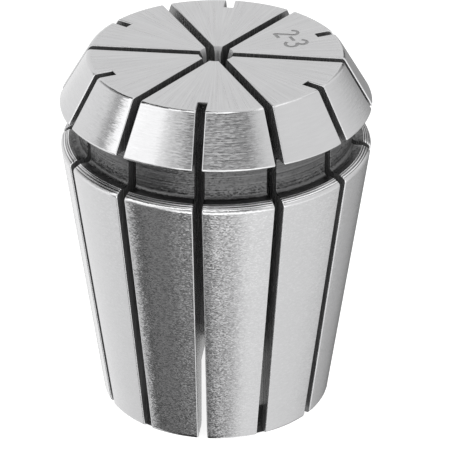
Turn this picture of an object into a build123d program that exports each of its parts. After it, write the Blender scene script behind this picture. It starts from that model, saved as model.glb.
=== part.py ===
# A spring collet of ER32 size, 33 mm across and 40 mm long, made in one piece.
# Six slots sawn from the front and six sawn from the rear let its wall close on a round shank.
# Part frame: origin at the centre of the small rear face, +Z along the axis to the front face.
# Lengths are in millimetres and angles in degrees.
import os
from math import radians, sqrt, tan

from build123d import *

# Outside profile
length = 40.0
large_radius = 16.5
taper_angle = 8.0
nose_angle = 30.0
nose_height = 5.45
nose_land = 0.25
groove_width = 4.1
groove_depth = 2.0
groove_fillet = 0.4
shoulder_height = 0.5
shoulder_width = 0.8
rear_chamfer = 0.1

# Inside profile
bore_radius = 1.5
bore_chamfer = 0.33
bore_chamfer_depth = 0.75
grip_length = 9.5
relief_radius = 4.5
counterbore_radius = 9.2
counterbore_depth = 8.0
counterbore_chamfer = 0.4

# Slots. Each one is a saw cut whose floor curves out to the surface where the saw left it.
slots_per_set = 6
slot_width = 0.95
saw_radius = 25.0
saw_overreach = 1.0
rear_exit_depth = 0.42
notch_depth = 2.0

# Heights and radii that follow from the sizes above
nose_base = length - nose_height
groove_base = nose_base - groove_width
taper_top = groove_base - shoulder_height
rear_radius = large_radius - taper_top * tan(radians(taper_angle))
face_radius = large_radius - (nose_height - nose_land) * tan(radians(nose_angle))
groove_radius = large_radius - groove_depth
grip_base = length - grip_length
chamfer_run = rear_chamfer * tan(radians(taper_angle))

# The saw's centre stands outside the collet, and its rim passes the axis by the overreach.
saw_offset = saw_radius - saw_overreach
front_exit_radius = rear_radius - rear_exit_depth
notch_radius = face_radius - notch_depth
front_stop = sqrt(saw_radius**2 - (saw_offset - front_exit_radius) ** 2)
rear_stop = length - sqrt(saw_radius**2 - (saw_offset - notch_radius) ** 2)

# A front slot: the saw comes in over the front face and stops with its rim just out of the rear rim.
with BuildPart() as front_cut:
    with BuildSketch(Plane.XZ):
        with Locations((saw_offset, front_stop)):
            Circle(saw_radius)
            Rectangle(2 * saw_radius, length, align=(Align.CENTER, Align.MIN))
    extrude(amount=slot_width / 2, both=True)

# A rear slot: the saw comes in over the rear face and stops where its rim notches the front face.
with BuildPart() as rear_cut:
    with BuildSketch(Plane.XZ):
        with Locations((saw_offset, rear_stop)):
            Circle(saw_radius)
            Rectangle(2 * saw_radius, length, align=(Align.CENTER, Align.MAX))
    extrude(amount=slot_width / 2, both=True)

with BuildPart() as collet:
    # Turned blank with its stepped bore
    with BuildSketch(Plane.XZ):
        with BuildLine():
            Polyline(
                (bore_radius, grip_base),
                (relief_radius, grip_base),
                (relief_radius, counterbore_depth),
                (counterbore_radius, counterbore_depth),
                (counterbore_radius, counterbore_chamfer),
                (counterbore_radius + counterbore_chamfer, 0),
                (rear_radius - rear_chamfer, 0),
                (rear_radius + chamfer_run, rear_chamfer),
                (large_radius, taper_top),
                (large_radius - shoulder_width, groove_base),
                (groove_radius, groove_base),
                (groove_radius, nose_base),
                (large_radius, nose_base),
                (large_radius, nose_base + nose_land),
                (face_radius, length),
                (bore_radius + bore_chamfer, length),
                (bore_radius, length - bore_chamfer_depth),
                close=True,
            )
        make_face()
    revolve(axis=Axis.Z)

    # Rounded corners at both ends of the groove floor
    floor_edges = collet.edges().filter_by(GeomType.CIRCLE).filter_by(lambda e: abs(e.radius - groove_radius) < 0.01)
    fillet(floor_edges, groove_fillet)

    # Both sets of slots, turned by half a space against each other
    with PolarLocations(0, slots_per_set):
        add(front_cut.part, mode=Mode.SUBTRACT)
    with PolarLocations(0, slots_per_set, start_angle=180 / slots_per_set):
        add(rear_cut.part, mode=Mode.SUBTRACT)

collet.part.label = "collet"

os.makedirs("parts", exist_ok=True)
export_step(collet.part, "parts/collet.step")
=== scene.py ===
"""Looks of the slotted steel collet: a finer surface with rounded edges, ground and sawn finishes,
and a pale studio.

The collet's outline is a closed loop of corners, each with a radius and a height. It is turned round
the axis in twelve sectors, one between each two slots, and every slot edge is a small quarter round.
"""

from collections import namedtuple
from math import asin, atan2, ceil, cos, hypot, pi, radians, sin, sqrt, tan

import bmesh
import bpy
from mathutils import Euler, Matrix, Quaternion, Vector


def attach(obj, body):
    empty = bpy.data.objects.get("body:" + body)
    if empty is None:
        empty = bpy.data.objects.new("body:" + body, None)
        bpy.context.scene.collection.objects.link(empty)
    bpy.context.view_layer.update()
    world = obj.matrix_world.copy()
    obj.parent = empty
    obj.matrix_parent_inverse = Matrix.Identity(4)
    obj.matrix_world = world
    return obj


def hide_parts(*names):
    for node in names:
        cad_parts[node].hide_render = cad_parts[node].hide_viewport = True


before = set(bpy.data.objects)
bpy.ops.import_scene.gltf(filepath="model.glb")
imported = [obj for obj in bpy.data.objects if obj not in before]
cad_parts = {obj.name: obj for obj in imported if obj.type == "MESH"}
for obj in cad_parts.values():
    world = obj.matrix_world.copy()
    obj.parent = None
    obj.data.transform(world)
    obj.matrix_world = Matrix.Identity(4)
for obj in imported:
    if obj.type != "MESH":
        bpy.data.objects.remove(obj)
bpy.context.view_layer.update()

MM = 0.001

# Sizes in millimetres, the same as the CAD part's
LENGTH = 40.0
LARGE_RADIUS = 16.5
TAPER_ANGLE = radians(8.0)
NOSE_ANGLE = radians(30.0)
NOSE_HEIGHT = 5.45
NOSE_LAND = 0.25
GROOVE_WIDTH = 4.1
GROOVE_DEPTH = 2.0
GROOVE_FILLET = 0.4
SHOULDER_HEIGHT = 0.5
SHOULDER_WIDTH = 0.8
BORE_RADIUS = 1.5
BORE_CHAMFER = 0.33
BORE_CHAMFER_DEPTH = 0.75
GRIP_LENGTH = 9.5
RELIEF_RADIUS = 4.5
COUNTERBORE_RADIUS = 9.2
COUNTERBORE_DEPTH = 8.0
COUNTERBORE_CHAMFER = 0.4
SLOTS = 12
SLOT_WIDTH = 0.95
SAW_RADIUS = 25.0
SAW_OVERREACH = 1.0
REAR_EXIT_DEPTH = 0.42
NOTCH_DEPTH = 2.0

# Heights and radii that follow from them
NOSE_BASE = LENGTH - NOSE_HEIGHT
GROOVE_BASE = NOSE_BASE - GROOVE_WIDTH
TAPER_TOP = GROOVE_BASE - SHOULDER_HEIGHT
GROOVE_RADIUS = LARGE_RADIUS - GROOVE_DEPTH
GRIP_BASE = LENGTH - GRIP_LENGTH
REAR_RADIUS = LARGE_RADIUS - TAPER_TOP * tan(TAPER_ANGLE)
FACE_RADIUS = LARGE_RADIUS - (NOSE_HEIGHT - NOSE_LAND) * tan(NOSE_ANGLE)
SLOT_HALF = SLOT_WIDTH / 2
SAW_OFFSET = SAW_RADIUS - SAW_OVERREACH
FRONT_EXIT = REAR_RADIUS - REAR_EXIT_DEPTH
NOTCH_RADIUS = FACE_RADIUS - NOTCH_DEPTH
PITCH = 2 * pi / SLOTS

# Small roundings in millimetres, which the CAD part leaves sharp or chamfered: how far the rear rim
# is cut back, and the radii at the corners of the outline
REAR_CUT = 0.18
REAR_ROUNDING = 0.58
SHOULDER_ROUNDING = 0.45
LIP_ROUNDING = 0.16
LAND_ROUNDING = 0.2
FACE_ROUNDING = 0.52
MOUTH_ROUNDING = 0.05

# Radius in millimetres of the rounded edge along a slot, outside and inside, and the faces across it
EDGE_OUT = 0.13
EDGE_IN = 0.03
EDGE_STEPS = 3

# Fineness of the mesh: the largest turn between two faces of a rounding, the columns of faces in a
# sector, the faces along the slots' floors, and the widest bridge across a slot near the axis
ROUNDING_STEP = radians(18)
COLUMNS = 10
FRONT_FLOOR_STEPS = 7
REAR_FLOOR_STEPS = 16
WIDEST_BRIDGE = radians(4)

# The gap that is closed, in metres, how near a point on a wall lies to it, in millimetres, and the
# angle from which an edge is shaded sharp
WELD = 2e-7
ON_WALL = 1e-6
SHARP_FROM = radians(32)

# Finishes, in the order of the mesh's material slots
# The turned finish is near-black: painted shade for the groove under the nose, its shoulder and the
# counterbore.
FACE, NOSE, TAPER, BEVEL, TURNED_PAINTED_SHADE, SAWN_AND_PAINTED_SHADE, ETCHED, BORED, EDGE = range(9)

# The size mark on the face, in millimetres: the distance and direction of its middle from the axis,
# its reading direction, its upward direction, and the pen
MARK_REACH = 8.8
MARK_TURN = radians(30)
MARK_CENTRE = Vector((MARK_REACH * cos(MARK_TURN), MARK_REACH * sin(MARK_TURN)))
MARK_ALONG = Vector((sin(MARK_TURN), -cos(MARK_TURN)))
MARK_UP = Vector((cos(MARK_TURN), sin(MARK_TURN)))
PEN_WIDTH = 0.36
MARK_DEPTH = 0.03

# Camera, fitted to the photograph: metres and angles, with its lens in millimetres
CAMERA_DISTANCE = 0.36164
CAMERA_AZIMUTH = radians(6.78)
CAMERA_HEIGHT = radians(28.633)
CAMERA_DIP = radians(0.24)
CAMERA_SWING = radians(0.369)
CAMERA_ROLL = radians(0.175)
CAMERA_LENS = 257.15
CAMERA_CLIP = 0.01

# Light that reflections see, by elevation in degrees. Each band holds pairs of an azimuth in degrees
# right of the camera and a brightness.
STUDIO = {
    -75: [(-180, 0.03), (2, 0.03), (12, 0.9), (60, 1.0), (170, 1.2), (176, 0.1), (180, 0.03)],
    -60: [
        (-180, 0.05), (-150, 0.05), (-138, 1.0), (-108, 0.93), (-90, 0.86), (-80, 0.8), (-76, 0.3),
        (-70, 0.0), (2, 0.0), (9, 0.08), (17, 0.3), (26, 0.65), (33, 0.9), (66, 0.95), (90, 0.9),
        (107, 0.76), (126, 0.54), (145, 0.42), (154, 0.4), (160, 1.4), (172, 1.4), (176, 0.1),
        (180, 0.05),
    ],
    -38: [
        (-180, 0.3), (-174, 0.7), (-168, 0.85), (-157, 1.1), (-150, 1.1), (-108, 0.93), (-84, 0.9),
        (-79, 0.9), (-75, 0.7), (-71, 0.1), (-67, 0.08), (-62, 0.25), (-57, 0.29), (-44, 0.29),
        (-36, 0.34), (-22, 0.43), (-10, 0.37), (-6, 0.42), (-2, 0.85), (1, 0.96), (6, 0.9),
        (17, 0.93), (22, 1.08), (30, 1.1), (60, 0.96), (90, 0.91), (107, 0.81), (126, 0.59),
        (145, 0.45), (158, 0.29), (176, 0.12), (180, 0.3),
    ],
    -28: [
        (-180, 0.4), (-174, 0.7), (-168, 0.9), (-157, 1.1), (-125, 1.05), (-108, 1.2), (-84, 1.25),
        (-72, 0.5), (-66, 0.4), (-54, 0.2), (-40, 0.15), (-33, 0.6), (-26, 1.8), (-8, 1.9),
        (4, 2.0), (28, 1.8), (38, 1.6), (60, 1.35), (94, 1.1), (114, 0.85), (126, 0.65),
        (145, 0.48), (158, 0.32), (176, 0.12), (180, 0.4),
    ],
    -6: [
        (-180, 0.95), (-150, 1.0), (-108, 1.1), (-84, 1.3), (-74, 0.8), (-66, 0.5), (-54, 0.3),
        (-40, 0.4), (-26, 1.8), (0, 1.9), (28, 1.7), (60, 1.1), (85, 1.0), (104, 0.9),
        (117, 0.76), (135, 0.54), (145, 0.44), (158, 0.4), (180, 0.8),
    ],
    14: [
        (-180, 0.93), (-150, 1.0), (-110, 1.0), (-98, 0.97), (-94, 0.7), (-91, 0.45), (-88, 0.5),
        (-86, 0.8), (-83, 1.45), (-80, 1.6), (-60, 1.4), (-48, 1.4), (-40, 1.25), (-28, 1.3),
        (-20, 1.1), (0, 1.25), (14, 1.1), (20, 1.0), (28, 0.9), (33, 0.9), (40, 0.95),
        (85, 0.97), (104, 0.93), (117, 0.88), (138, 0.88), (144, 0.15), (157, 0.0), (165, 0.9),
        (180, 0.93),
    ],
    46: [
        (-180, 0.93), (-143, 0.95), (-137, 0.0), (-104, 0.0), (-99, 0.6), (-95, 0.8), (-91, 0.4),
        (-88, 0.4), (-86, 0.8), (-83, 1.6), (-80, 1.9), (-60, 1.6), (-48, 1.6), (-41, 0.75),
        (-28, 0.22), (-22, 0.0), (29, 0.0), (32, 0.5), (40, 0.9), (60, 0.99), (100, 0.95),
        (110, 0.85), (122, 1.05), (145, 1.1), (158, 0.95), (180, 0.93),
    ],
    60: [
        (-180, 0.95), (-150, 0.95), (-142, 0.0), (-112, 0.0), (-107, 0.2), (-90, 0.15), (-72, 0.6),
        (-62, 1.8), (-20, 2.0), (18, 2.0), (27, 0.6), (38, 0.5), (46, 0.9), (55, 1.6), (80, 1.6),
        (122, 1.5), (132, 1.1), (145, 0.95), (180, 0.95),
    ],
    72: [
        (-180, 0.9), (-165, 0.7), (-150, 0.3), (-135, 0.05), (-110, 0.05), (-85, 0.25), (-72, 0.5),
        (-60, 1.6), (-20, 2.0), (12, 2.0), (25, 1.6), (45, 0.5), (60, 0.5), (72, 1.4), (84, 1.3),
        (92, 0.7), (100, 0.7), (115, 1.3), (135, 1.0), (180, 0.9),
    ],
    86: [(-180, 0.95), (-140, 0.9), (-110, 0.1), (20, 0.15), (40, 0.8), (180, 0.95)],
}

# The brightness that the bands' colours are shares of
BRIGHTEST = 2.0

# Brightness of the room as every ray sees it, apart from reflections and the camera's own
ROOM_LIGHT = 0.8
WHITE = (1, 1, 1, 1)

# Floor, in metres: its size and the radius under the collet where reflections see it. It glows a
# little less than white, and its paint adds the rest where no shadow falls.
FLOOR_SIZE = 1.6
FLOOR_MIRRORED = 0.0118
FLOOR_GLOW = 0.88
FLOOR_PAINT = (0.5, 0.5, 0.5, 1)

# The range that most of a noise texture keeps to, and how far turned rings raise and lower it
NOISE_LOW = 0.3
NOISE_HIGH = 0.7
RING_SHARE = 0.2

# Steel reflects a little more blue than red, and its tone is uneven over patches of this grain
STEEL_BLUE = 1.01
CLOUD_GRAIN = (2.5, 0.25, 0.25)

# A corner's or row's finish is that of the wall after it, and edge the radius of slot edges there.
Corner = namedtuple("Corner", "r z rounding edge finish")
Row = namedtuple("Row", "r z edge finish")

# The rows that a slot leaves beyond its floor, the rows that it cuts, and the points along its floor
SlotKind = namedtuple("SlotKind", "kept sawn floor")

# The turned outline, from the gripping bore's inner end round by the rear, the outside and the face
OUTLINE = [
    Corner(BORE_RADIUS, GRIP_BASE, 0, EDGE_IN, SAWN_AND_PAINTED_SHADE),
    Corner(RELIEF_RADIUS, GRIP_BASE, 0, EDGE_IN, SAWN_AND_PAINTED_SHADE),
    Corner(RELIEF_RADIUS, COUNTERBORE_DEPTH, 0, EDGE_IN, TURNED_PAINTED_SHADE),
    Corner(COUNTERBORE_RADIUS, COUNTERBORE_DEPTH, 0, EDGE_IN, TURNED_PAINTED_SHADE),
    Corner(COUNTERBORE_RADIUS, COUNTERBORE_CHAMFER, 0, EDGE_IN, TURNED_PAINTED_SHADE),
    Corner(COUNTERBORE_RADIUS + COUNTERBORE_CHAMFER, 0, 0, EDGE_IN, TURNED_PAINTED_SHADE),
    Corner(REAR_RADIUS - REAR_CUT, 0, 0, EDGE_OUT, TAPER),
    Corner(REAR_RADIUS + REAR_CUT * tan(TAPER_ANGLE), REAR_CUT, REAR_ROUNDING, EDGE_OUT, TAPER),
    Corner(LARGE_RADIUS, TAPER_TOP, SHOULDER_ROUNDING, EDGE_OUT, BEVEL),
    Corner(LARGE_RADIUS - SHOULDER_WIDTH, GROOVE_BASE, LIP_ROUNDING, EDGE_OUT, TURNED_PAINTED_SHADE),
    Corner(GROOVE_RADIUS, GROOVE_BASE, GROOVE_FILLET, EDGE_OUT, TURNED_PAINTED_SHADE),
    Corner(GROOVE_RADIUS, NOSE_BASE, GROOVE_FILLET, EDGE_OUT, BEVEL),
    Corner(LARGE_RADIUS, NOSE_BASE, LIP_ROUNDING, EDGE_OUT, NOSE),
    Corner(LARGE_RADIUS, NOSE_BASE + NOSE_LAND, LAND_ROUNDING, EDGE_OUT, NOSE),
    Corner(FACE_RADIUS, LENGTH, FACE_ROUNDING, EDGE_OUT, FACE),
    Corner(BORE_RADIUS + BORE_CHAMFER, LENGTH, MOUTH_ROUNDING, EDGE_IN, BORED),
    Corner(BORE_RADIUS, LENGTH - BORE_CHAMFER_DEPTH, 0, EDGE_IN, BORED),
]


def rounded(corners):
    """The outline's rows, with each corner that has a rounding turned into an arc."""
    rows = []
    for i, corner in enumerate(corners):
        if not corner.rounding:
            rows.append(Row(corner.r, corner.z, corner.edge, corner.finish))
            continue
        before = corners[i - 1]
        after = corners[(i + 1) % len(corners)]
        tip = Vector((corner.r, corner.z))
        back = (Vector((before.r, before.z)) - tip).normalized()
        ahead = (Vector((after.r, after.z)) - tip).normalized()
        half = back.angle(ahead) / 2
        centre = tip + (back + ahead).normalized() * corner.rounding / sin(half)
        start = tip + back * corner.rounding / tan(half) - centre
        turn = start.angle_signed(tip + ahead * corner.rounding / tan(half) - centre)
        steps = ceil(abs(turn) / ROUNDING_STEP)
        for k in range(steps + 1):
            a = atan2(start.y, start.x) - turn * k / steps
            r = centre.x + corner.rounding * cos(a)
            z = centre.y + corner.rounding * sin(a)
            rows.append(Row(r, z, corner.edge, corner.finish if k == steps else before.finish))
    return rows


def add_row(rows, r, z):
    """Puts one more row on the straight wall that passes through (r, z), and returns it."""
    here = Vector((r, z))
    for i, row in enumerate(rows):
        after = rows[(i + 1) % len(rows)]
        a = Vector((row.r, row.z))
        b = Vector((after.r, after.z))
        if abs((here - a).length + (here - b).length - (a - b).length) < ON_WALL:
            added = Row(r, z, row.edge, row.finish)
            rows.insert(i + 1, added)
            return added
    raise ValueError(f"no wall passes through {r}, {z}")


def span(rows, first, last):
    """Indices of the rows from first to last, going round the loop."""
    i, j = rows.index(first), rows.index(last)
    return [k % len(rows) for k in range(i, j + 1 if j >= i else j + len(rows) + 1)]


def saw_reach(r):
    """How far above or below its centre the saw cuts, at a distance r from the axis."""
    return sqrt(SAW_RADIUS**2 - (SAW_OFFSET - r) ** 2)


def saw_floor(stop, way, start, end, steps):
    """Points between two radii on a slot's floor. The saw's centre stopped at the height stop, and
    the floor lies above it (way 1) or below it (-1)."""
    points = []
    for k in range(1, steps):
        r = start + (end - start) * k / steps
        points.append((r, stop + way * saw_reach(r)))
    return points


def slotted_outline():
    """The outline's rows, and the two kinds of slot: sawn from the front, and from the rear."""
    rows = rounded(OUTLINE)
    front_stop = saw_reach(FRONT_EXIT)
    rear_stop = LENGTH - saw_reach(NOTCH_RADIUS)
    counterbore_exit = front_stop - saw_reach(COUNTERBORE_RADIUS)
    step_exit = SAW_OFFSET - sqrt(SAW_RADIUS**2 - (GRIP_BASE - rear_stop) ** 2)
    front_in = add_row(rows, COUNTERBORE_RADIUS, counterbore_exit)
    front_out = add_row(rows, FRONT_EXIT, 0)
    rear_out = add_row(rows, NOTCH_RADIUS, LENGTH)
    rear_in = add_row(rows, step_exit, GRIP_BASE)
    front_floor = saw_floor(front_stop, -1, COUNTERBORE_RADIUS, FRONT_EXIT, FRONT_FLOOR_STEPS)
    rear_floor = saw_floor(rear_stop, 1, NOTCH_RADIUS, step_exit, REAR_FLOOR_STEPS)
    front = SlotKind(span(rows, front_in, front_out), span(rows, front_out, front_in), front_floor)
    rear = SlotKind(span(rows, rear_out, rear_in), span(rows, rear_in, rear_out), rear_floor)
    return rows, front, rear


def inset(rows, i):
    """Row i's point, moved into the metal by the radius of its rounded slot edge."""
    row = rows[i]
    normals = []
    for a, b in ((rows[i - 1], row), (row, rows[(i + 1) % len(rows)])):
        n = hypot(b.r - a.r, b.z - a.z)
        normals.append(Vector((b.z - a.z, a.r - b.r)) / n)
    shift = row.edge * (normals[0] + normals[1]) / (1 + normals[0].dot(normals[1]))
    return row.r - shift.x, row.z - shift.y


def quarter_turn(start, corner, end):
    """Points of the quarter circle that rounds a right-angled corner between two points on its sides."""
    centre = start + end - corner
    turns = [pi / 2 * k / EDGE_STEPS for k in range(1, EDGE_STEPS)]
    return [start, *(centre + (start - centre) * cos(a) + (end - centre) * sin(a) for a in turns), end]


def polar(r, angle, z):
    """A point in metres, from its radius, angle and height."""
    return Vector((r * cos(angle), r * sin(angle), z)) * MM


def beside(slot_angle, along, across, z):
    """A point in metres, at a distance along a slot's middle line and across from it."""
    x = along * cos(slot_angle) - across * sin(slot_angle)
    y = along * sin(slot_angle) + across * cos(slot_angle)
    return Vector((x, y, z)) * MM


class Surface:
    """Faces gathered by their corner points, with the finish of each."""

    def __init__(self):
        self.bm = bmesh.new()

    def face(self, points, finish):
        made = self.bm.faces.new([self.bm.verts.new(p) for p in points])
        made.material_index = finish
        made.smooth = True

    def object(self, name):
        bmesh.ops.remove_doubles(self.bm, verts=self.bm.verts, dist=WELD)
        bmesh.ops.recalc_face_normals(self.bm, faces=self.bm.faces)
        mesh = bpy.data.meshes.new(name)
        self.bm.to_mesh(mesh)
        self.bm.free()
        made = bpy.data.objects.new(name, mesh)
        bpy.context.scene.collection.objects.link(made)
        return made


def half_angle(rows, i, kind):
    """The angle on row i from a slot's middle line to where the sector beside it begins."""
    exact = asin((SLOT_HALF + rows[i].edge) / rows[i].r)
    return exact if i in kind.sawn else min(exact, WIDEST_BRIDGE)


def add_strip(surface, rows, i, angles):
    """Adds the faces from row i to the next one, at the angles that each of the two has."""
    j = (i + 1) % len(rows)
    here = [polar(rows[i].r, a, rows[i].z) for a in angles(i)]
    ahead = [polar(rows[j].r, a, rows[j].z) for a in angles(j)]
    for k in range(len(here) - 1):
        surface.face([here[k], here[k + 1], ahead[k + 1], ahead[k]], rows[i].finish)


def add_sector(surface, rows, angle, kind, next_kind):
    """Adds the turned surface between the slot at an angle and the next slot."""

    def angles(i):
        start = angle + half_angle(rows, i, kind)
        end = angle + PITCH - half_angle(rows, i, next_kind)
        return [start + (end - start) * k / COLUMNS for k in range(COLUMNS + 1)]

    for i in range(len(rows)):
        add_strip(surface, rows, i, angles)


def add_bridge(surface, rows, angle, kind):
    """Adds the turned surface across the slot at an angle, where the saw left the wall."""

    def angles(i):
        reach = SLOT_HALF + rows[i].edge
        scale = half_angle(rows, i, kind) / asin(reach / rows[i].r)
        places = (-reach, -SLOT_HALF, SLOT_HALF, reach)
        return [angle + scale * asin(place / rows[i].r) for place in places]

    for i in kind.kept[:-1]:
        add_strip(surface, rows, i, angles)


def add_side(surface, rows, angle, kind, side):
    """Adds a slot's wall on one side (-1 or 1) with its rounded edges, and returns its points along
    the floor."""
    sawn = kind.sawn
    skin = [polar(rows[i].r, angle + side * half_angle(rows, i, kind), rows[i].z) for i in sawn]
    wall = [inset(rows, i) for i in sawn]
    wall = [beside(angle, sqrt(r**2 - SLOT_HALF**2), side * SLOT_HALF, z) for r, z in wall]
    turns = [angle + side * asin(SLOT_HALF / rows[i].r) for i in sawn]
    sharp = [polar(rows[i].r, a, rows[i].z) for i, a in zip(sawn, turns)]
    across = [quarter_turn(*points) for points in zip(skin, sharp, wall)]
    for k in range(len(sawn) - 1):
        here, ahead = across[k], across[k + 1]
        finish = rows[sawn[k]].finish
        for m in range(EDGE_STEPS):
            corners = [here[m], ahead[m], ahead[m + 1], here[m + 1]]
            surface.face(corners, EDGE if finish in (TAPER, NOSE) else finish)
    bottom = [beside(angle, r, side * SLOT_HALF, z) for r, z in kind.floor]
    # The slot's wall takes the sawn finish, whose dark tone is partly painted shade.
    surface.face(wall + bottom, SAWN_AND_PAINTED_SHADE)
    surface.face([sharp[-1], *across[-1][::-1]], rows[sawn[-1]].finish)
    surface.face([sharp[0], *across[0]], rows[sawn[0]].finish)
    return [sharp[-1], wall[-1], *bottom, wall[0], sharp[0]]


def add_slot(surface, rows, angle, kind):
    """Adds both side walls of the slot at an angle, and the floor between them."""
    near, far = [add_side(surface, rows, angle, kind, side) for side in (-1, 1)]
    for k in range(len(near) - 1):
        surface.face([near[k], near[k + 1], far[k + 1], far[k]], SAWN_AND_PAINTED_SHADE)


def build_collet():
    """The whole collet as one closed mesh, with a front slot and a rear slot in turn."""
    rows, *kinds = slotted_outline()
    surface = Surface()
    for slot in range(SLOTS):
        angle = slot * PITCH
        kind = kinds[slot % 2]
        add_sector(surface, rows, angle, kind, kinds[1 - slot % 2])
        add_bridge(surface, rows, angle, kind)
        add_slot(surface, rows, angle, kind)
    return surface.object("ground_collet")


def stroke(surface, path):
    """A pen stroke of the size mark along points given in the mark's own frame, as a closed thin bar."""
    sides = ([], [])
    for i, point in enumerate(path):
        before = Vector(path[max(i - 1, 0)])
        after = Vector(path[min(i + 1, len(path) - 1)])
        normal = (after - before).normalized().orthogonal() * PEN_WIDTH / 2
        for side, way in zip(sides, (1, -1)):
            place = Vector(point) + way * normal
            spot = MARK_CENTRE + place.x * MARK_ALONG + place.y * MARK_UP
            side.append(spot)
    outline = sides[0] + sides[1][::-1]
    low = [Vector((p.x, p.y, LENGTH - MARK_DEPTH)) * MM for p in outline]
    high = [Vector((p.x, p.y, LENGTH + MARK_DEPTH)) * MM for p in outline]
    surface.face(low, ETCHED)
    surface.face(high[::-1], ETCHED)
    for k in range(len(outline)):
        surface.face([low[k - 1], low[k], high[k], high[k - 1]], ETCHED)


def arc(x, y, radius, start, end, steps=14):
    """Points on an arc, with its angles in degrees."""
    turn = [radians(start + (end - start) * k / steps) for k in range(steps + 1)]
    return [(x + radius * cos(a), y + radius * sin(a)) for a in turn]


def engrave_mark(collet):
    """Cuts two plain numerals with a dash between them into the front face."""
    # The numerals' middles and the first one's foot, in the mark's own frame
    two = -1.43
    three = 1.03
    foot = -1.22
    surface = Surface()
    stroke(surface, arc(two, 0.70, 0.52, 175, -38) + [(two - 0.53, foot)])
    stroke(surface, [(two - 0.62, foot), (two + 0.58, foot)])
    stroke(surface, [(-0.67, 0), (0.40, 0)])
    stroke(surface, arc(three, 0.62, 0.54, 160, -95))
    stroke(surface, arc(three, -0.60, 0.64, 95, -160))
    cutter = surface.object("mark_cutter")
    for material in collet.data.materials:
        cutter.data.materials.append(material)
    cut = collet.modifiers.new("mark", "BOOLEAN")
    cut.operation = "DIFFERENCE"
    cut.solver = "EXACT"
    cut.use_self = True
    cut.object = cutter
    settle(collet)
    bpy.data.objects.remove(cutter)


def settle(piece):
    """Makes what a piece's modifiers do part of its mesh."""
    bpy.context.view_layer.update()
    shown = piece.evaluated_get(bpy.context.evaluated_depsgraph_get())
    shaped = bpy.data.meshes.new_from_object(shown)
    piece.modifiers.clear()
    piece.data = shaped


def shade_flats_flat(collet):
    """Keeps the long walls' shading straight, so that only the small roundings turn it."""
    collet.data.set_sharp_from_angle(angle=SHARP_FROM)
    weighted = collet.modifiers.new("weighted", "WEIGHTED_NORMAL")
    weighted.mode = "FACE_AREA"
    weighted.weight = 100
    weighted.keep_sharp = True
    settle(collet)


def add(tree, kind, inputs=(), **settings):
    """A new shader node, with its inputs set to values or joined to other nodes' outputs."""
    made = tree.nodes.new("ShaderNode" + kind)
    for name, value in settings.items():
        setattr(made, name, value)
    for name, value in dict(inputs).items():
        if isinstance(value, bpy.types.NodeSocket):
            tree.links.new(value, made.inputs[name])
        else:
            made.inputs[name].default_value = value
    return made


def maths(tree, operation, *values):
    """The result of one sum on numbers or outputs."""
    return add(tree, "Math", enumerate(values), operation=operation).outputs[0]


def scaled_to(tree, value, low, high, start=NOISE_LOW, end=NOISE_HIGH):
    """A value's range from start to end, stretched to low and high."""
    inputs = {"Value": value, "From Min": start, "From Max": end, "To Min": low, "To Max": high}
    return add(tree, "MapRange", inputs).outputs[0]


def turned_place(tree, around, out, up):
    """A place for textures that follow the turning, scaled per radian, and per millimetre outwards
    and up."""
    metres = add(tree, "TexCoord").outputs["Object"]
    place = add(tree, "VectorMath", {0: metres, "Scale": 1 / MM}, operation="SCALE").outputs[0]
    flat = add(tree, "VectorMath", {0: place, 1: (1, 1, 0)}, operation="MULTIPLY").outputs[0]
    radius = add(tree, "VectorMath", {0: flat}, operation="LENGTH").outputs["Value"]
    ring = add(tree, "VectorMath", {0: flat}, operation="NORMALIZE").outputs[0]
    ring = add(tree, "VectorMath", {0: ring, "Scale": around}, operation="SCALE").outputs[0]
    height = add(tree, "SeparateXYZ", {0: place}).outputs["Z"]
    outwards = maths(tree, "MULTIPLY", radius, out)
    rise = maths(tree, "ADD", outwards, maths(tree, "MULTIPLY", height, up))
    lift = add(tree, "CombineXYZ", {"Z": rise}).outputs[0]
    return add(tree, "VectorMath", {0: ring, 1: lift}, operation="ADD").outputs[0]


def noise(tree, place, detail=3, roughness=0.6):
    """Noise with one cell for each unit of the place."""
    inputs = {"Vector": place, "Scale": 1, "Detail": detail, "Roughness": roughness}
    return add(tree, "TexNoise", inputs).outputs["Fac"]


def with_rings(tree, marks, pitch):
    """The tool marks with turned rings added, whose pitch is in millimetres of radius."""
    radius = add(tree, "SeparateXYZ", {0: turned_place(tree, 0, 1, 0)}).outputs["Z"]
    wave = maths(tree, "SINE", maths(tree, "MULTIPLY", radius, 2 * pi / pitch))
    return maths(tree, "MULTIPLY_ADD", wave, RING_SHARE, marks)


def faceted(tree, normal, cells, lean):
    """A normal that leans another way in each small cell, by up to half of lean, like the facets
    that grinding leaves."""
    place = turned_place(tree, *cells)
    chance = add(tree, "TexVoronoi", {"Vector": place, "Scale": 1}).outputs["Color"]
    way = add(tree, "VectorMath", {0: chance, 1: (0.5, 0.5, 0.5)}, operation="SUBTRACT").outputs[0]
    way = add(tree, "VectorMath", {0: way, 1: lean}, operation="MULTIPLY").outputs[0]
    leant = add(tree, "VectorMath", {0: normal, 1: way}, operation="ADD").outputs[0]
    return add(tree, "VectorMath", {0: leant}, operation="NORMALIZE").outputs[0]


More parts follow.
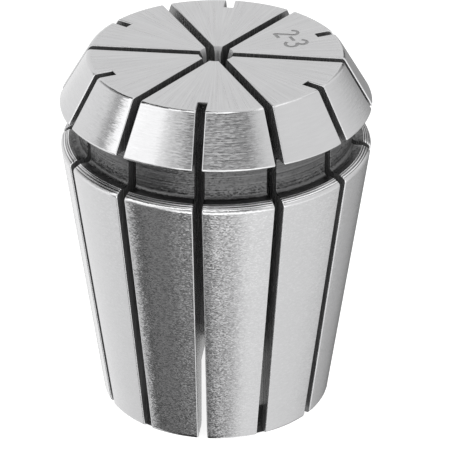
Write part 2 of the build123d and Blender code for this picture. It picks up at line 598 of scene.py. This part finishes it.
def steel(name, tone, spread, gloss, grain, depth, cloud=0.0, metal=1.0, facets=None, rings=None):
    """A steel finish.

    tone is its grey, spread how much the grain changes it, gloss its lowest and highest roughness,
    grain the scales of the marks the tool left, depth their height in millimetres, cloud a broad
    unevenness of the tone, metal how far the surface is bare metal, facets the scales and the lean
    of its small facets, and rings the pitch of its turned rings.
    """
    material = bpy.data.materials.new(name)
    material.use_nodes = True
    tree = material.node_tree
    shader = tree.nodes["Principled BSDF"]
    shader.inputs["Metallic"].default_value = metal
    marks = noise(tree, turned_place(tree, *grain))
    if rings:
        marks = with_rings(tree, marks, rings)
    grey = scaled_to(tree, marks, tone * (1 - spread), tone * (1 + spread))
    if cloud:
        broad = noise(tree, turned_place(tree, *CLOUD_GRAIN), detail=2)
        grey = maths(tree, "MULTIPLY", grey, scaled_to(tree, broad, 1 - cloud, 1 + cloud))
    blue = maths(tree, "MULTIPLY", grey, STEEL_BLUE)
    colour = add(tree, "CombineColor", {"Red": grey, "Green": grey, "Blue": blue})
    tree.links.new(colour.outputs[0], shader.inputs["Base Color"])
    tree.links.new(scaled_to(tree, marks, *gloss), shader.inputs["Roughness"])
    relief = {"Strength": 1, "Distance": depth * MM, "Height": marks}
    normal = add(tree, "Bump", relief).outputs[0]
    if facets:
        normal = faceted(tree, normal, *facets)
    tree.links.new(normal, shader.inputs["Normal"])
    return material


def dress(collet):
    """Gives each finish its material, in the order of their numbers."""
    finishes = [
        steel(
            "face_ground", tone=0.60, spread=0.09, gloss=(0.26, 0.34), grain=(60, 0.15, 0.15),
            depth=0.004, cloud=0.02,
        ),
        steel(
            "nose_ground", tone=0.62, spread=0.02, gloss=(0.1, 0.16), grain=(7, -2.9, 3.6),
            depth=0.02, cloud=0.01, facets=((40, -7, 8), (0.03, 0.03, 0.11)),
        ),
        steel(
            "taper_ground", tone=0.62, spread=0.02, gloss=(0.1, 0.16), grain=(30, -1, 5),
            depth=0.006, cloud=0.01, facets=((84, 0, 14), (0.04, 0.04, 0.16)),
        ),
        steel(
            "bevel_turned", tone=0.51, spread=0.75, gloss=(0.22, 0.32), grain=(2, -3.4, 2.2),
            depth=0.02, rings=0.22,
        ),
        # Near-black turned steel: painted shade in the groove under the nose overhang and in the hollow
        # counterbore.
        steel(
            "groove_turned_painted_shade", tone=0.115, spread=0.45, gloss=(0.25, 0.4), grain=(1.2, 4, 6),
            depth=0.02, facets=((60, 5, 9), (0.16, 0.16, 0.3)),
        ),
        # Dark sawn steel: partly the dull, oily sawn metal, partly painted shade deep inside the narrow
        # slots.
        steel(
            "sawn", tone=0.17, spread=0.3, gloss=(0.2, 0.3), grain=(3, 6, 0.3),
            depth=0.02, metal=0.5,
        ),
        steel(
            "etched", tone=0.36, spread=0.10, gloss=(0.45, 0.6), grain=(30, 6, 6),
            depth=0.01,
        ),
        steel(
            "bored", tone=0.5, spread=0.1, gloss=(0.45, 0.55), grain=(3, 4, 4),
            depth=0.004, metal=0.6,
        ),
        steel(
            "edge_broken", tone=0.68, spread=0.04, gloss=(0.2, 0.3), grain=(40, 1, 1),
            depth=0.004,
        ),
    ]
    for material in finishes:
        collet.data.materials.append(material)


def lights_around(tree, azimuth, stops):
    """Brightness by azimuth, from pairs of an azimuth in degrees and a brightness."""
    turn = scaled_to(tree, azimuth, 0, 1, -180, 180)
    ramp = add(tree, "ValToRGB", {"Fac": turn})
    elements = ramp.color_ramp.elements
    while len(elements) < len(stops):
        elements.new(0.5)
    for element, (degrees, bright) in zip(elements, stops):
        element.position = (degrees + 180) / 360
        element.color = (bright / BRIGHTEST,) * 3 + (1,)
    share = add(tree, "RGBToBW", {0: ramp.outputs[0]}).outputs[0]
    return maths(tree, "MULTIPLY", share, BRIGHTEST)


def build_studio():
    """A pale room with dark cards and bright lamps, which only reflections see. The camera sees
    plain white, and all else an even light."""
    world = bpy.data.worlds.new("studio")
    bpy.context.scene.world = world
    world.use_nodes = True
    world.cycles.sampling_method = "NONE"
    tree = world.node_tree
    tree.nodes.clear()
    ray = add(tree, "TexCoord").outputs["Generated"]
    turned = {"Vector": ray, "Angle": -CAMERA_AZIMUTH}
    way = add(tree, "VectorRotate", turned, rotation_type="Z_AXIS")
    x, y, z = add(tree, "SeparateXYZ", {0: way.outputs[0]}).outputs
    azimuth = maths(tree, "DEGREES", maths(tree, "ARCTAN2", x, maths(tree, "MULTIPLY", y, -1)))
    elevation = maths(tree, "DEGREES", maths(tree, "ARCSINE", z))
    heights = sorted(STUDIO)
    seen = lights_around(tree, azimuth, STUDIO[heights[0]])
    for below, above in zip(heights, heights[1:]):
        share = scaled_to(tree, elevation, 0, 1, below, above)
        higher = lights_around(tree, azimuth, STUDIO[above])
        seen = add(tree, "Mix", {"Factor": share, 2: seen, 3: higher}, data_type="FLOAT").outputs[0]
    rays = add(tree, "LightPath").outputs
    plain = add(tree, "Background", {"Color": WHITE, "Strength": 1}).outputs[0]
    even = add(tree, "Background", {"Color": WHITE, "Strength": ROOM_LIGHT}).outputs[0]
    studio = add(tree, "Background", {"Color": WHITE, "Strength": seen}).outputs[0]
    lit = add(tree, "MixShader", {"Fac": rays["Is Glossy Ray"], 1: even, 2: studio}).outputs[0]
    shown = add(tree, "MixShader", {"Fac": rays["Is Camera Ray"], 1: lit, 2: plain}).outputs[0]
    output = tree.nodes.new("ShaderNodeOutputWorld")
    tree.links.new(shown, output.inputs["Surface"])


def build_floor():
    """A white floor that takes a faint shadow, is clear from below, and is mirrored only where it
    lies under the collet."""
    half = FLOOR_SIZE / 2
    corners = [(-half, -half, 0), (half, -half, 0), (half, half, 0), (-half, half, 0)]
    mesh = bpy.data.meshes.new("floor")
    mesh.from_pydata(corners, [], [(0, 1, 2, 3)])
    floor = bpy.data.objects.new("floor", mesh)
    bpy.context.scene.collection.objects.link(floor)
    material = bpy.data.materials.new("white_floor")
    material.use_nodes = True
    tree = material.node_tree
    tree.nodes.clear()
    glow = add(tree, "Emission", {"Color": WHITE, "Strength": FLOOR_GLOW})
    paint = add(tree, "BsdfDiffuse", {"Color": FLOOR_PAINT})
    white = add(tree, "AddShader", {0: glow.outputs[0], 1: paint.outputs[0]})
    clear = add(tree, "BsdfTransparent")
    place = add(tree, "NewGeometry").outputs
    spread = add(tree, "VectorMath", {0: place["Position"]}, operation="LENGTH").outputs["Value"]
    outside = maths(tree, "GREATER_THAN", spread, FLOOR_MIRRORED)
    unseen = maths(tree, "MULTIPLY", outside, add(tree, "LightPath").outputs["Is Glossy Ray"])
    unseen = maths(tree, "MAXIMUM", unseen, place["Backfacing"])
    both = add(tree, "MixShader", {"Fac": unseen, 1: white.outputs[0], 2: clear.outputs[0]})
    output = tree.nodes.new("ShaderNodeOutputMaterial")
    tree.links.new(both.outputs[0], output.inputs["Surface"])
    mesh.materials.append(material)


def place_camera():
    """The photograph's viewpoint."""
    lens = bpy.data.cameras.new("camera")
    lens.lens = CAMERA_LENS
    lens.clip_start = CAMERA_CLIP
    camera = bpy.data.objects.new("camera", lens)
    bpy.context.scene.collection.objects.link(camera)
    out = CAMERA_DISTANCE * cos(CAMERA_HEIGHT)
    camera.location = (
        out * sin(CAMERA_AZIMUTH),
        -out * cos(CAMERA_AZIMUTH),
        LENGTH / 2 * MM + CAMERA_DISTANCE * sin(CAMERA_HEIGHT),
    )
    tilt = pi / 2 - CAMERA_HEIGHT - CAMERA_DIP
    aim = Euler((tilt, 0, CAMERA_AZIMUTH - CAMERA_SWING)).to_quaternion()
    camera.rotation_euler = (aim @ Quaternion((0, 0, 1), CAMERA_ROLL)).to_euler()
    bpy.context.scene.camera = camera


collet = build_collet()
dress(collet)
engrave_mark(collet)
shade_flats_flat(collet)
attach(collet, "root")
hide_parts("collet")

build_studio()
build_floor()
place_camera()
bpy.context.scene.view_settings.view_transform = "Standard"
